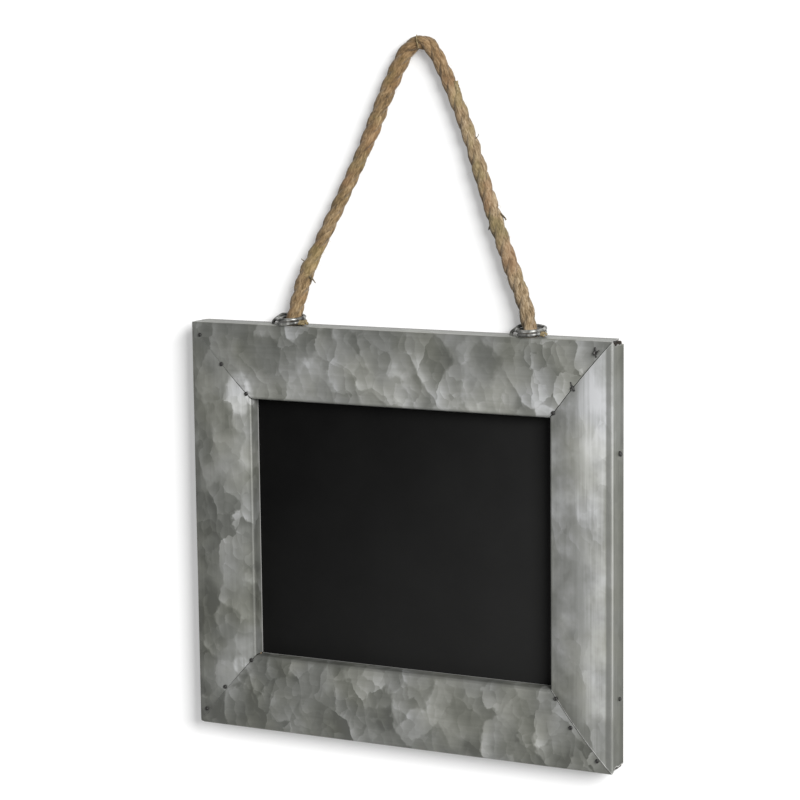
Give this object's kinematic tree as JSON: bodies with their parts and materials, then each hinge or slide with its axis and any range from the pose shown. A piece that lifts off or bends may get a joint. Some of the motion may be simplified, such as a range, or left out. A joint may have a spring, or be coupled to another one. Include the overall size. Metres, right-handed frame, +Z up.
{
  "type": "wall chalkboard",
  "caption": "Small rectangular chalkboard in a wide mitred frame clad in spangled zinc sheet, hung on a wall pin by a laid rope through two wire eyes.",
  "frame": {"origin": "where the rope bears on its pin, under the top of the rope", "axes": "+X to the right as the board is read, +Y into the wall, +Z up"},
  "size_m": [0.2557, 0.0173, 0.3858],
  "materials": {
    "zinc_sheet": "dull galvanised sheet with large spangles",
    "softwood": "raw sawn softwood",
    "plain_steel": "plain steel",
    "dark_nail": "dark oxidised brad",
    "zinc_wire": "galvanised wire",
    "blackboard": "matt black chalkboard paint on hardboard",
    "jute": "laid jute rope"
  },
  "bodies": {
    "hanger": {"rope": "jute", "rope_knot_left": "jute", "rope_knot_right": "jute"},
    "board": {"sheet_top": "zinc_sheet", "sheet_bottom": "zinc_sheet", "sheet_left": "zinc_sheet", "sheet_right": "zinc_sheet", "core_top": "softwood", "core_bottom": "softwood", "core_left": "softwood", "core_right": "softwood", "chalkboard_panel": "blackboard", "point_top_left": "plain_steel", "point_top_right": "plain_steel", "point_bottom_left": "plain_steel", "point_bottom_right": "plain_steel", "point_left": "plain_steel", "point_right": "plain_steel", "nail_top_left_1": "dark_nail", "nail_top_left_2": "dark_nail", "nail_top_left_3": "dark_nail", "nail_top_right_1": "dark_nail", "nail_top_right_2": "dark_nail", "nail_top_right_3": "dark_nail", "nail_bottom_right_1": "dark_nail", "nail_bottom_right_2": "dark_nail", "nail_bottom_right_3": "dark_nail", "nail_bottom_left_1": "dark_nail", "nail_bottom_left_2": "dark_nail", "nail_bottom_left_3": "dark_nail", "nail_left_1": "dark_nail", "nail_left_2": "dark_nail", "nail_right_1": "dark_nail", "nail_right_2": "dark_nail", "eye_left": "zinc_wire", "eye_right": "zinc_wire"}
  },
  "joints": [
    {"name": "board_swing", "type": "hinge", "parent": "hanger", "child": "board", "pos_m": [-0.01275, -0.003, -0.149], "axis": [-1, 0, 0], "range_deg": [0, 25]}
  ]
}
